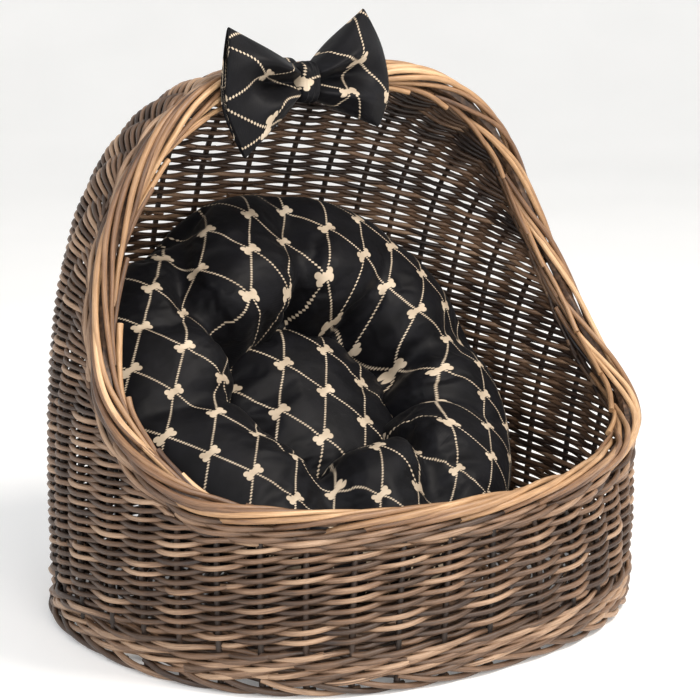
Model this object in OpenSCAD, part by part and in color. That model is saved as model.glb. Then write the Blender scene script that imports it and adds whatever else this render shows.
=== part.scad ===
// Hooded wicker pet bed: woven willow basket with an arched hood, a loose ring cushion and a tied fabric bow.
// Millimetres, +Z up. The open front faces -Y. Origin: middle of the footprint, on the floor.

/* [Base plan] */
// Half width of the base, side to side
half_width = 272; // [250:1:290]
// Reach of the base towards the open front
front_reach = 250; // [245:1:280]
// Reach of the base towards the back
back_reach = 236; // [225:1:255]
// Squareness of the oval plan, 2 is an ellipse
plan_power = 2.3; // [2:0.05:2.4]
// Distance that centres the whole basket front to back
centre_shift = 8.8; // [0:0.1:20]

/* [Wall] */
// How far the wall swells outside the base plan, as a fraction
wall_swell = 0.04; // [0.03:0.01:0.08]
// Fullness of the wall's curve at the open front
front_fullness = 0.6; // [0.5:0.05:0.7]
// Fullness of the wall's curve at the back of the hood
back_fullness = 1.07; // [0.95:0.05:1.1]
// Thickness of the woven wall
wall_thick = 12; // [10:0.5:14]

/* [Bands] */
// Height of the foot border
foot_height = 12; // [10:1:14]
// Height of the floor above the ground
floor_height = 23; // [22:0.5:24]
// Top of the heavy waling at the foot of the wall
upsett_top = 40; // [36:1:46]
// Height where full rounds end and hood rows begin
round_top = 116; // [100:1:118]
// Depth of the waling under the rim border
waling_depth = 16; // [12:1:18]

/* [Rods] */
// Number of upright stakes
stake_count = 40; // [36:2:48]
// Radius of a stake
stake_radius = 3; // [2.5:0.1:3.5]
// Radius of the hoop inside the rim border
core_radius = 5; // [4:0.5:5]
// Radius of each rod laid round the rim
strand_radius = 4.5; // [4:0.25:4.5]
// Distance of the rim rods from the hoop's centre
strand_offset = 9.7; // [9.6:0.1:11]
// Radius of the long base sticks
long_stick_radius = 3.8; // [3:0.1:3.8]
// Radius of the pierced cross sticks of the base
cross_stick_radius = 5; // [4.8:0.1:5.2]

/* [Cushion] */
// Radius of the ring bolster's centreline
ring_radius = 170; // [160:1:172]
// Radius of the ring bolster's stuffing and cover together
ring_fat = 64; // [56:1:64]
// Slope of the cushion at its middle, in degrees
lean = 44; // [42:1:46]
// Radius that the propped cushion bends to
bend_radius = 380; // [360:5:420]
// Height of the cushion's middle above the ground
cushion_height = 177; // [177:1:182]
// Thickness of the cushion's cloth
cloth = 1.5; // [1:0.25:2]
// How far the cushion is lifted forward and up from where it rests
lift = 0; // [0:5:100]

/* [Bow] */
// Half the width of the whole bow
bow_half = 108; // [95:1:112]
// Height of a loop at its outer edge
bow_height = 122; // [100:1:126]
// Fullness of a loop, front to back
loop_fullness = 19; // [14:1:19]
// Place of the bow along the rim, in degrees from the hood's top
bow_turn = 7; // [0:0.5:9]
// Turn of the bow about the upright, following the rim, in degrees
bow_heading = 2.5; // [1.5:0.5:3]

/* [Hidden] */

willow = "#5b4232";
pale_willow = "#8a6a4c";
black_cloth = "#1c1d21";
wadding = "#e8e4da";

wall_steps = 48;
hair = 0.6;
hood_angle = 85;
fullness_start = 40;
fullness_span = 100;
loop_roundness = 0.8;
pad_roundness = 0.6;
lens_reach = 84;
fit_gap = 0.3;
tiny_angle = 1;
tiny_step = 0.01;
// Half of the rim's line, from the middle of the open front (0) to the middle of the hood's arch (8)
rim_points = [[0, -246, 150], [104, -228, 150], [200, -184, 155], [264, -124, 177], [281, -44, 243],
    [252, 2, 350], [202, 10, 441], [120, 21, 495], [0, 37, 504]];
rim_last = len(rim_points) - 1;
shift = [0, centre_shift, 0];

function mix(a, b, t) = a + (b - a) * t;
function unit(v) = v / norm(v);
function signed_pow(v, p) = sign(v) * pow(abs(v), p);
function smooth(t) = t <= 0 ? 0 : t >= 1 ? 1 : t * t * (3 - 2 * t);
function mirror_x(p) = [-p[0], p[1], p[2]];

// Oval plan of the base, grown outwards by "grow"; angle 0 is the front, 90 is +X, 180 the back
function plan(a, grow = 0) =
    let (c = -cos(a), reach = c < 0 ? front_reach : back_reach)
    [(half_width + grow) * signed_pow(sin(a), 2 / plan_power),
     (reach + grow) * signed_pow(c, 2 / plan_power) + centre_shift];

// Rim line: a smooth spline through rim_points, mirrored on the -X side
function rim_control(i) = i < 0 ? mirror_x(rim_points[-i])
    : i > rim_last ? mirror_x(rim_points[2 * rim_last - i]) : rim_points[i];
function spline(p, q, r, s, t) =
    0.5 * (2 * q + (r - p) * t + (2 * p - 5 * q + 4 * r - s) * t * t + (3 * q - p - 3 * r + s) * t * t * t);
function rim_half(a) =
    let (u = a / 180 * rim_last, i = min(floor(u), rim_last - 1))
    spline(rim_control(i - 1), rim_control(i), rim_control(i + 1), rim_control(i + 2), u - i);
function wrap(a) = a > 180 ? a - 360 : a < -180 ? a + 360 : a;
function rim(a) = shift + (wrap(a) < 0 ? mirror_x(rim_half(-wrap(a))) : rim_half(wrap(a)));

// The wall's middle surface: each stake is a curve from the base plan, over a swollen shoulder, to the rim
function fullness(a) = mix(front_fullness, back_fullness, smooth((abs(wrap(a)) - fullness_start) / fullness_span));
function shoulder(a) =
    let (p = plan(a, wall_swell * half_width))
    [p[0], p[1], fullness(a) * rim(a)[2]];
function wall(a, v) =
    let (p = plan(a))
    (1 - v) * (1 - v) * [p[0], p[1], 0] + 2 * v * (1 - v) * shoulder(a) + v * v * rim(a);
function along(a, v) = unit(wall(a + tiny_angle, v) - wall(a - tiny_angle, v));
function upward(a, v) = unit(wall(a, v + tiny_step) - wall(a, v - tiny_step));
function outward(a, v) = unit(cross(along(a, v), upward(a, v)));
// Place on the wall at height z, and at a distance below the rim
function at_height(a, z) =
    let (k = shoulder(a)[2], h = rim(a)[2])
    z / (k + sqrt(k * k + (h - 2 * k) * z));
function below_rim(a, d) = 1 - d / (2 * norm(rim(a) - shoulder(a)));

// Triangles that skin rings of points of equal count, as one closed solid
function quad(a, b, c, d) = [[a, b, c], [a, c, d]];
function skin_faces(rings, sides, closed) =
    let (last = closed ? rings - 1 : rings - 2)
    [for (i = [0:last], j = [0:sides - 1])
        let (n = (i + 1) % rings, k = (j + 1) % sides)
        each quad(i * sides + j, n * sides + j, n * sides + k, i * sides + k)];
function cap_faces(rings, sides) = [[for (j = [0:sides - 1]) j],
    [for (j = [sides - 1:-1:0]) (rings - 1) * sides + j]];
module skin(rings, closed) {
    sides = len(rings[0]);
    faces = concat(skin_faces(len(rings), sides, closed), closed ? [] : cap_faces(len(rings), sides));
    polyhedron([for (r = rings) each r], faces, convexity = 8);
}

// A band of the wall between two heights on it, given as lists of v for each angle
module wall_band(low, high, steps) {
    rings = [for (i = [0:wall_steps - 1])
        let (a = i * 360 / wall_steps)
        [each [for (j = [0:steps])
            let (v = mix(low[i], high[i], j / steps))
            wall(a, v) - outward(a, v) * wall_thick / 2],
         each [for (j = [steps:-1:0])
            let (v = mix(low[i], high[i], j / steps))
            wall(a, v) + outward(a, v) * wall_thick / 2]]];
    skin(rings, true);
}
function each_angle() = [for (i = [0:wall_steps - 1]) i * 360 / wall_steps];
function height_line(z) = [for (a = each_angle()) at_height(a, z)];
function rim_line(d) = [for (a = each_angle()) below_rim(a, d)];

// A rod laid along the rim, at an offset outwards and upwards from its line
module rim_rod(radius, out, up) {
    sides = 6;
    rings = [for (a = each_angle())
        let (o = outward(a, 1), t = unit(cross(o, along(a, 1))))
        [for (s = [0:sides - 1])
            let (w = s * 360 / sides)
            rim(a) + o * (out + radius * cos(w)) - t * (-up + radius * sin(w))]];
    skin(rings, true);
}

// One upright stake, following the middle of the wall
module stake(a, steps) {
    sides = 6;
    low = at_height(a, foot_height + 2);
    high = below_rim(a, core_radius + 1);
    rings = [for (i = [0:steps])
        let (v = mix(low, high, i / steps), o = outward(a, v), t = along(a, v))
        [for (s = [0:sides - 1])
            let (w = s * 360 / sides)
            wall(a, v) + stake_radius * (o * cos(w) - t * sin(w))]];
    skin(rings, false);
}
function stake_angle(i) = (i + 0.5) * 360 / stake_count;
function is_hood(i) = abs(wrap(stake_angle(i))) > hood_angle;

module low_stakes() {
    color(willow)
        for (i = [0:stake_count - 1])
            if (!is_hood(i)) stake(stake_angle(i), 4);
}

module hood_stakes() {
    color(willow)
        for (i = [0:stake_count - 1])
            if (is_hood(i)) stake(stake_angle(i), 8);
}

// Base: long sticks threaded through pierced cross sticks, woven over into a flat oval
long_stick_y = [-60, -20, 20, 60];
cross_stick_x = [-180, -120, -60, 0, 60, 120, 180];
stick_z = (foot_height + floor_height) / 2;
base_inset = -(wall_thick / 2 + 0.5);
stick_inset = 20;
function plan_half_depth(x, reach) =
    (reach + base_inset - stick_inset) * pow(1 - pow(abs(x) / half_width, plan_power), 1 / plan_power);

module long_sticks(radius, length) {
    for (y = long_stick_y)
        translate([-length / 2, y + centre_shift, stick_z])
            rotate([0, 90, 0])
                cylinder(h = length, r = radius, $fn = 32);
}

module base_long_sticks() {
    color(willow) long_sticks(long_stick_radius, 2 * (half_width - stick_inset - 12));
}

module base_cross_sticks() {
    color(willow)
        difference() {
            for (x = cross_stick_x) {
                front = plan_half_depth(x, front_reach);
                back = plan_half_depth(x, back_reach);
                translate([x, centre_shift - front, stick_z])
                    rotate([-90, 0, 0])
                        cylinder(h = front + back, r = cross_stick_radius, $fn = 32);
            }
            long_sticks(long_stick_radius + 0.05, 2 * half_width);
        }
}

module oval(grow) {
    polygon([for (i = [0:71]) plan(i * 5, grow)]);
}

module base_weave() {
    color(willow)
        translate([0, 0, foot_height])
            linear_extrude(floor_height - foot_height)
                oval(base_inset);
}

module foot_border() {
    color(willow)
        linear_extrude(foot_height)
            difference() {
                oval(7);
                oval(-14);
            }
}

module upsett_waling() {
    color(willow) wall_band(height_line(foot_height + 2 * hair), height_line(upsett_top), 1);
}

module side_weave() {
    color(willow) wall_band(height_line(upsett_top + hair), height_line(round_top), 2);
}

module hood_weave() {
    color(willow)
        wall_band(height_line(round_top + hair), rim_line(core_radius + 1 + waling_depth + 2 * hair), 8);
}

module top_waling() {
    color(willow) wall_band(rim_line(core_radius + 1 + waling_depth), rim_line(core_radius + 1), 1);
}

module rim_core() {
    color(pale_willow) rim_rod(core_radius, 0, 0);
}

module rim_outer_strand() {
    color(pale_willow) rim_rod(strand_radius, strand_offset, 0);
}

module rim_top_strand() {
    color(pale_willow) rim_rod(strand_radius, 0, strand_offset);
}

module rim_inner_strand() {
    color(pale_willow) rim_rod(strand_radius, -strand_offset, 0);
}

// Cushion: a flat ring-and-pad cushion bent to an arc, leaning on the back of the basket.
// bed() places a point that is p across, q up the slope and h off the middle surface.
cushion_y = 42 + centre_shift;
arc_centre = [cushion_y - bend_radius * sin(lean), cushion_height + bend_radius * cos(lean)];
lift_axis = [0, -sin(30), cos(30)];
function bed(p, q, h) =
    let (w = lean + q / bend_radius * 180 / PI, r = bend_radius - h)
    [p, arc_centre[0] + r * sin(w), arc_centre[1] - r * cos(w)] + lift * lift_axis;

ring_steps = 36;
ring_sides = 12;
module bolster(fat) {
    rings = [for (i = [0:ring_steps - 1])
        let (a = i * 360 / ring_steps)
        [for (s = [0:ring_sides - 1])
            let (w = s * 360 / ring_sides, r = ring_radius + fat * cos(w))
            bed(r * sin(a), -r * cos(a), -fat * sin(w))]];
    skin(rings, true);
}

module cushion_ring_cover() {
    color(black_cloth)
        difference() {
            bolster(ring_fat);
            bolster(ring_fat - cloth);
        }
}

module cushion_ring_filling() {
    color(wadding) bolster(ring_fat - cloth - fit_gap);
}

// The pad fills the ring's middle as a flat lens, sunk a little below the ring
pad_radius = ring_radius - ring_fat - 4;
pad_half = 34;
pad_sink = -12;
under_sink = pad_sink - pad_half - 2;
pad_steps = 24;
module lens(radius, half, sink) {
    levels = [for (k = [-3:3]) k / 3 * lens_reach];
    rings = [for (k = levels)
        [for (i = [0:pad_steps - 1])
            let (a = i * 360 / pad_steps, r = radius * pow(cos(k), pad_roundness))
            bed(r * sin(a), -r * cos(a), sink + half * sin(k))]];
    skin(rings, false);
}

module cushion_pad_cover() {
    color(black_cloth)
        difference() {
            lens(pad_radius, pad_half, pad_sink);
            lens(pad_radius - cloth, pad_half - cloth, pad_sink);
        }
}

module cushion_pad_filling() {
    color(wadding) lens(pad_radius - cloth - fit_gap, pad_half - cloth - fit_gap, pad_sink);
}

// The round of cloth that closes the cushion's underside between ring and pad
module cushion_under_panel() {
    panel_radii = [6, 50, pad_radius - 4];
    under = [for (r = panel_radii) [r, under_sink - cloth]];
    over = [for (k = [len(panel_radii) - 1:-1:0]) [panel_radii[k], under_sink]];
    color(black_cloth)
        skin([for (ring = concat(under, over))
            [for (i = [0:pad_steps - 1])
                let (a = i * 360 / pad_steps)
                bed(ring[0] * sin(a), -ring[0] * cos(a), ring[1])]], false);
}

// The stitched seam that gathers the ring to the pad
module cushion_seam_cord() {
    cord = 1.6;
    radius = pad_radius + 2;
    color(black_cloth)
        skin([for (i = [0:pad_steps - 1])
            let (a = i * 360 / pad_steps)
            [for (s = [0:5])
                let (r = radius + cord * cos(s * 60))
                bed(r * sin(a), -r * cos(a), 12 - cord * sin(s * 60))]], true);
}

// Bow: two stuffed loops, a band round their middle, and a strap that ties it over the rim
bow_centre = [0, 0, rim_points[rim_last][2] - 4];
rim_top = rim_points[rim_last] + shift;
strap_radius = strand_offset + strand_radius + 1.3;
strap_thick = 1.8;
band_half = [17, 14, 22];
band_y = rim_top[1] - strap_radius - strap_thick - band_half[1] - fit_gap;
loop_y = band_y - 9;
loop_steps = 8;
loop_sides = 16;
strap_width = 16;
bow_angle = bow_turn - 180;

// Carries the bow from the hood's top to its place along the rim
module at_bow() {
    translate(rim(bow_angle))
        rotate([0, 0, bow_heading])
            translate(-rim_top)
                children();
}
loop_root = [19, 8, 15];
loop_end = 8;
// A stuffed loop on the +X side, as a cushion that widens from the band to its outer edge
module loop(thin) {
    rings = [for (i = [0:loop_steps])
        let (t = i / loop_steps,
             x = mix(loop_root[0] + thin, bow_half - thin, t),
             deep = mix(loop_root[1], loop_end, t) + (loop_fullness - loop_end) * sin(180 * t) - thin,
             tall = mix(loop_root[2], bow_height / 2, pow(t, loop_roundness)) - thin)
        [for (s = [0:loop_sides - 1])
            let (w = s * 360 / loop_sides)
            [x, loop_y + deep * signed_pow(cos(w), loop_roundness),
             bow_centre[2] + tall * signed_pow(sin(w), loop_roundness)]]];
    skin(rings, false);
}

module loop_cover() {
    color(black_cloth)
        difference() {
            loop(0);
            loop(cloth);
        }
}

module loop_wadding() {
    color(wadding) loop(cloth + fit_gap);
}

module bow_left_loop() {
    at_bow() mirror([1, 0, 0]) loop_cover();
}

module bow_right_loop() {
    at_bow() loop_cover();
}

module bow_left_wadding() {
    at_bow() mirror([1, 0, 0]) loop_wadding();
}

module bow_right_wadding() {
    at_bow() loop_wadding();
}

module bow_knot_band() {
    round = 6;
    color(black_cloth)
        at_bow()
            hull()
                for (x = [-1, 1], y = [-1, 1], z = [-1, 1])
                    translate([x * (band_half[0] - round), band_y + y * (band_half[1] - round),
                            bow_centre[2] + z * (band_half[2] - round)])
                        sphere(round, $fn = 20);
}

module bow_tie_strap() {
    color(black_cloth)
        at_bow()
            translate([-strap_width / 2, rim_top[1], rim_top[2]])
                rotate([0, 90, 0])
                    difference() {
                        cylinder(h = strap_width, r = strap_radius + strap_thick, $fn = 48);
                        translate([0, 0, -1])
                            cylinder(h = strap_width + 2, r = strap_radius, $fn = 48);
                    }
}

base_long_sticks();
base_cross_sticks();
base_weave();
foot_border();
upsett_waling();
side_weave();
hood_weave();
low_stakes();
hood_stakes();
top_waling();
rim_core();
rim_outer_strand();
rim_top_strand();
rim_inner_strand();
cushion_ring_cover();
cushion_ring_filling();
cushion_pad_cover();
cushion_pad_filling();
cushion_under_panel();
cushion_seam_cord();
bow_left_loop();
bow_right_loop();
bow_left_wadding();
bow_right_wadding();
bow_knot_band();
bow_tie_strap();
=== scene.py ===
# %% [markdown]
# # A hooded willow pet basket
# The object is a round basket woven from stained willow rods. Its wall is low at the front and rises at the back into
# a hood. A ring cushion in printed black cloth leans inside it, and a stuffed bow of the same cloth is tied to the top
# of the rim. The fixed frame holds every part's place and motion, and this lesson dresses each part in its real shape.

# %% Load the fixed frame
import math
import random

import bpy
import numpy as np
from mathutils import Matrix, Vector


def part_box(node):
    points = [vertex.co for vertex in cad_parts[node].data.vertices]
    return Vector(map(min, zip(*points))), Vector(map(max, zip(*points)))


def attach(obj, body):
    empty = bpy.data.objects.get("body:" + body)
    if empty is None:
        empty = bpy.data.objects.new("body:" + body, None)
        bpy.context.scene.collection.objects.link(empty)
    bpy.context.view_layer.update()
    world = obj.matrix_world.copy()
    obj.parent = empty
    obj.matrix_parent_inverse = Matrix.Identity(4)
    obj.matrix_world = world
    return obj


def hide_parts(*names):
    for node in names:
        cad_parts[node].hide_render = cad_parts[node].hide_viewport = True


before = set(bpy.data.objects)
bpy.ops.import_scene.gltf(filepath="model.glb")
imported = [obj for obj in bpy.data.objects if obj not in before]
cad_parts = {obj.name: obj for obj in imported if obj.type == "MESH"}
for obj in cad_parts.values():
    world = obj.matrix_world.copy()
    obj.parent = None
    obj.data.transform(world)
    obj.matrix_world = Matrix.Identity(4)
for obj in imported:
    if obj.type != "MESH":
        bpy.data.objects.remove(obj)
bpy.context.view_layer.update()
MM = 0.001
random.seed(7)

# %% [markdown]
# ## Camera
# A shop picture of a basket is taken with a long lens from a little above the rim, so the hood and the open front both
# show. A camera could be aimed with a constraint. Here its place is worked out from two angles and a distance, which
# is easy to read and to change.

# %% Place the camera
scene = bpy.context.scene
VIEW_TURN, VIEW_TILT = math.radians(-38), math.radians(12)
VIEW_DISTANCE = 1.853
BASKET_MIDDLE, ASIDE = Vector((0, 0.0088, 0.243)), 0.011
LENS_LENGTH, SENSOR_WIDTH = 99.2, 36  # mm
view_right = Vector((math.cos(VIEW_TURN), math.sin(VIEW_TURN), 0))
view_back = Vector((math.sin(VIEW_TURN) * math.cos(VIEW_TILT), -math.cos(VIEW_TURN) * math.cos(VIEW_TILT),
                    math.sin(VIEW_TILT)))
aim = BASKET_MIDDLE + view_right * ASIDE
lens = bpy.data.cameras.new("camera")
lens.lens, lens.sensor_width = LENS_LENGTH, SENSOR_WIDTH
camera = bpy.data.objects.new("camera", lens)
camera.location = aim + view_back * VIEW_DISTANCE
camera.rotation_euler = (math.radians(90) - VIEW_TILT, 0, VIEW_TURN)
scene.collection.objects.link(camera)
scene.camera = camera
print("camera at", [round(c, 3) for c in camera.location])

# %% [markdown]
# ## Materials
# Every finish is made of shader nodes. One helper adds a node with its settings and its inputs, and one turns the
# colours that people read on a colour chart into the linear values that the shader adds up. Short helpers on top of
# them make a sum, a noise, a bump and the shader itself.

# %% Helpers for colours and nodes
def linear(code):
    """The linear colour of a hex code such as #6b5546."""
    parts = [int(code[i:i + 2], 16) / 255 for i in (1, 3, 5)]
    return tuple(c / 12.92 if c <= 0.04045 else ((c + 0.055) / 1.055) ** 2.4 for c in parts) + (1.0,)


def add(tree, kind, settings=None, inputs=None):
    """One node with its settings, and its inputs as values or as sockets to link."""
    node = tree.nodes.new(kind)
    for key, value in (settings or {}).items():
        setattr(node, key, value)
    for key, value in (inputs or {}).items():
        if isinstance(value, bpy.types.NodeSocket):
            tree.links.new(value, node.inputs[key])
        else:
            node.inputs[key].default_value = value
    return node


def new_finish(name):
    """An empty node material and its tree."""
    finish = bpy.data.materials.new(name)
    finish.use_nodes = True
    finish.node_tree.nodes.clear()
    return finish, finish.node_tree


def ramp(tree, fac, stops):
    """The colour of a value along a list of (place, hex colour) stops."""
    node = add(tree, "ShaderNodeValToRGB", inputs={"Fac": fac})
    while len(node.color_ramp.elements) < len(stops):
        node.color_ramp.elements.new(0.5)
    for element, (place, code) in zip(node.color_ramp.elements, stops):
        element.position, element.color = place, linear(code)
    return node.outputs["Color"]


def maths(tree, operation, *values, clamp=False):
    """The result of one sum of numbers or sockets."""
    settings = {"operation": operation, "use_clamp": clamp}
    return add(tree, "ShaderNodeMath", settings, dict(enumerate(values))).outputs[0]


def noise(tree, place, scale, detail=2.0, roughness=0.5):
    """A soft random pattern from 0 to 1."""
    return add(tree, "ShaderNodeTexNoise", inputs={"Vector": place, "Scale": scale, "Detail": detail,
                                                   "Roughness": roughness}).outputs["Fac"]


def bump(tree, height, strength, distance, **under):
    """A shading relief, laid over another one if that is given as Normal."""
    return add(tree, "ShaderNodeBump", inputs={"Height": height, "Strength": strength, "Distance": distance,
                                               **under}).outputs[0]


def paint(tree, inputs):
    """Ends a material with one principled shader."""
    shader = add(tree, "ShaderNodeBsdfPrincipled", inputs=inputs)
    add(tree, "ShaderNodeOutputMaterial", inputs={"Surface": shader.outputs[0]})


print("brown willow is", [round(c, 3) for c in linear("#6b5546")])

# %% [markdown]
# ### Stained willow
# Willow rods are soaked, woven damp and then stained. The bark side is smooth and a little glossy, with fine streaks
# along the rod, and each rod takes the stain differently. Strokes that stand proud are paler, partly rubbed by wear
# and partly painted light, and the hollows are painted darker as shade. The streaks need a pattern that follows each
# rod, so every rod carries four values of its own: how far along it a point is, where it is around it, a random tone,
# and how much rubbed wear and painted light it takes.

# %% The willow finish
# With these two scales a streak is about 1 mm wide and 20 mm long, and a blotch of stain about 100 mm long.
TONE_STEP, ALONG_SCALE = 91.0, 26.0


def willow_finish(name, stops, roughness, light_and_wear_lift):
    """Semi-matt stained willow rod: streaks along the rod, tone from rod to rod, paler with rubbed wear and painted
    light on proud strokes and the rim's top, and painted darker as shade in the hollows.
    """
    finish, tree = new_finish(name)
    value = {key: add(tree, "ShaderNodeAttribute", {"attribute_name": key}).outputs["Fac"]
             for key in ("along", "tone", "wear_and_light")}
    around = add(tree, "ShaderNodeAttribute", {"attribute_name": "around"}).outputs["Vector"]
    lengthwise = add(tree, "ShaderNodeCombineXYZ", inputs={
        "X": maths(tree, "MULTIPLY", value["tone"], TONE_STEP),
        "Z": maths(tree, "MULTIPLY", value["along"], ALONG_SCALE)}).outputs[0]
    place = add(tree, "ShaderNodeVectorMath", {"operation": "ADD"}, {0: around, 1: lengthwise}).outputs[0]
    streak = noise(tree, place, 2.2, 4.0, 0.62)
    blotch = noise(tree, lengthwise, 0.42)
    mixed = maths(tree, "MULTIPLY_ADD", streak, 0.62, maths(tree, "MULTIPLY_ADD", blotch, 0.5, -0.36))
    toned = maths(tree, "MULTIPLY_ADD", value["tone"], 0.55, mixed)
    # Paler where a rod stands proud or lies on the rim's top, darker in the hollows: rubbed wear with painted light
    # and painted shade.
    lit_and_rubbed = maths(tree, "MULTIPLY_ADD", value["wear_and_light"], light_and_wear_lift, toned, clamp=True)
    rough = add(tree, "ShaderNodeMapRange", inputs={"Value": streak, "To Min": roughness - 0.1,
                                                    "To Max": roughness + 0.14}).outputs[0]
    paint(tree, {"Base Color": ramp(tree, lit_and_rubbed, stops), "Roughness": rough, "IOR": 1.5,
                 "Specular IOR Level": 0.5, "Normal": bump(tree, streak, 0.5, 0.0006)})
    return finish


# From dark to pale: the darkest stops land in the hollows as painted shade, and the palest on proud strokes and the
# rim's top as painted light.
WALL_STOPS = [(0.0, "#120b08"), (0.3, "#2a1d16"), (0.55, "#4c3829"), (0.78, "#745944"), (1.0, "#a78a70")]
BORDER_STOPS = [(0.0, "#1e130c"), (0.28, "#483224"), (0.52, "#7a5a40"), (0.78, "#a9845f"), (1.0, "#d2ae86")]
# Painted shade: the stakes are darker because they stand in the shade between the strokes.
STAKE_SHADE_STOPS = [(0.0, "#0e0907"), (0.4, "#1e1510"), (0.8, "#38281e"), (1.0, "#56412f")]
wall_willow = willow_finish("brown_stained_willow_semi_matt", WALL_STOPS, 0.46, 0.26)
border_willow = willow_finish("tan_stained_willow_painted_top_light", BORDER_STOPS, 0.42, 0.2)
stake_willow = willow_finish("willow_stake_painted_shade", STAKE_SHADE_STOPS, 0.55, 0.1)
print("willow finishes:", wall_willow.name, border_willow.name, stake_willow.name)

# %% [markdown]
# ### Printed black cloth
# The cushion and the bow are sewn from a smooth polyester satin in near black, printed with a beige net of twisted
# rope and a small bone at each knot. Drawing the net from flat cloth coordinates keeps it the same size everywhere,
# so each cloth piece carries the place of every point on the flat cloth, in metres, in an attribute called "print".

# %% The printed cloth finish
ROPE_LONG, ROPE_SHORT = 0.058, 0.051  # distance between two knots along each family of rope
ROPE_LEAN = math.radians(62)  # angle between the two families
ROPE_HALF, TWIST_DEPTH = 0.0008, 0.0007
TWIST_LENGTH, TWIST_SLANT = 0.0030, 1900.0  # the twist of the rope is a row of slanted dashes
BONE_HALF, BONE_WAIST, KNOB_SIDE, KNOB = 0.0066, 0.0036, 0.0028, 0.0033
BONE_TILT = math.radians(10)  # from the short diagonal of the net
INK_EDGE = 2400.0  # how sharply the ink ends


def cloth_finish():
    """Black polyester satin with a printed beige rope net and bones: a soft sheen, fine twill and matt ink."""
    finish, tree = new_finish("black_printed_polyester_satin")

    def sums(operation):
        return lambda *values: maths(tree, operation, *values)

    plus, minus, times, larger = map(sums, ("ADD", "SUBTRACT", "MULTIPLY", "MAXIMUM"))
    fraction, size, sine, root, times_plus, smaller = map(
        sums, ("FRACT", "ABSOLUTE", "SINE", "SQRT", "MULTIPLY_ADD", "MINIMUM"))
    place = add(tree, "ShaderNodeAttribute", {"attribute_name": "print"}).outputs["Vector"]
    flat = add(tree, "ShaderNodeSeparateXYZ", inputs={0: place})
    # The net's own coordinates: u counts ropes of one family, v the other. Both are whole numbers at a knot.
    rise, slide = ROPE_SHORT * math.sin(ROPE_LEAN), ROPE_SHORT * math.cos(ROPE_LEAN)
    v = times(flat.outputs["Y"], 1 / rise)
    u = minus(times(flat.outputs["X"], 1 / ROPE_LONG), times(v, slide / ROPE_LONG))
    near_u, near_v = [minus(fraction(plus(count, 0.5)), 0.5) for count in (u, v)]
    ropes = []
    for across, apart, run, side in ((near_v, rise, u, ROPE_LONG),
                                     (near_u, ROPE_LONG * math.sin(ROPE_LEAN), v, ROPE_SHORT)):
        gap = times(across, apart)
        turn = times_plus(run, side / TWIST_LENGTH * 2 * math.pi, times(gap, TWIST_SLANT))
        wave = times_plus(sine(turn), TWIST_DEPTH, ROPE_HALF)
        ropes.append(times(minus(wave, size(gap)), INK_EDGE))
    # Bones: a thick waist and four knobs.
    x = plus(times(near_u, ROPE_LONG), times(near_v, slide))
    y = times(near_v, rise)
    tilt = (ROPE_LEAN + math.pi) / 2 + BONE_TILT
    lengthwise = size(plus(times(x, math.cos(tilt)), times(y, math.sin(tilt))))
    sideways = size(minus(times(y, math.cos(tilt)), times(x, math.sin(tilt))))
    knob_x, knob_y = minus(lengthwise, BONE_HALF), minus(sideways, KNOB_SIDE)
    knob = minus(KNOB, root(plus(times(knob_x, knob_x), times(knob_y, knob_y))))
    waist = smaller(minus(BONE_HALF, lengthwise), minus(BONE_WAIST, sideways))
    bone = times(larger(knob, waist), INK_EDGE)
    ink = add(tree, "ShaderNodeClamp", inputs={0: larger(larger(*ropes), bone)}).outputs[0]
    # The real thread is 0.2 mm, too fine to show, so the twill is drawn at 1.2 mm.
    twill = add(tree, "ShaderNodeTexWave", {"bands_direction": "DIAGONAL"}, {
        "Vector": place, "Scale": 260.0, "Distortion": 0.6, "Detail": 1.0}).outputs["Fac"]
    wear = noise(tree, place, 38.0, 4.0)
    black = ramp(tree, wear, [(0.25, "#08080a"), (0.5, "#0d0d10"), (0.8, "#131317")])
    beige = ramp(tree, wear, [(0.3, "#a3937f"), (0.6, "#c3b39d"), (0.8, "#d3c5b1")])
    colour = add(tree, "ShaderNodeMix", {"data_type": "RGBA"}, {0: ink, 6: black, 7: beige})
    rough = add(tree, "ShaderNodeMapRange", inputs={"Value": ink, "To Min": 0.52, "To Max": 0.8}).outputs[0]
    crumples = bump(tree, noise(tree, place, 26.0, 3.0, 0.45), 0.35, 0.006)
    paint(tree, {"Base Color": colour.outputs[2], "Roughness": rough, "Sheen Weight": 0.015,
                 "Sheen Roughness": 0.45, "Specular IOR Level": 0.12,
                 "Normal": bump(tree, twill, 0.12, 0.0004, Normal=crumples)})
    return finish


printed_cloth = cloth_finish()
print("net of rope every", ROPE_LONG / MM, "by", ROPE_SHORT / MM, "mm")

# %% [markdown]
# ## The line of the rim and the shape of the wall
# A basket maker first sets the stakes, and all weaving follows them. Each stake leaves the base, swells over a
# shoulder and ends at the rim. The same rule is written here once: a smooth spline for the rim, an oval for the base,
# and a curve between them for every stake. All woven pieces are then placed on that surface.

# %% The wall's surface
RIM_POINTS = np.array([[0, -246, 150], [104, -228, 150], [200, -184, 155], [264, -124, 177], [281, -44, 243],
                       [252, 2, 350], [202, 10, 441], [120, 21, 495], [0, 37, 504]]) * MM
FLIP = np.array([-1, 1, 1])
CONTROL = np.concatenate([RIM_POINTS[1:2] * FLIP, RIM_POINTS, RIM_POINTS[-2:-1] * FLIP])
CENTRE_SHIFT = 8.8 * MM
HALF_WIDTH, FRONT_REACH, BACK_REACH, PLAN_POWER = 0.272, 0.250, 0.236, 2.3
WALL_SWELL, FRONT_FULLNESS, BACK_FULLNESS = 0.04, 0.6, 1.07


def smooth(t):
    t = np.clip(t, 0, 1)
    return t * t * (3 - 2 * t)


def catmull(p, q, r, s, t):
    return 0.5 * (2 * q + (r - p) * t + (2 * p - 5 * q + 4 * r - s) * t ** 2 + (3 * q - p - 3 * r + s) * t ** 3)


def wrapped(angle):
    return (np.asarray(angle, float) + 180) % 360 - 180


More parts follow.
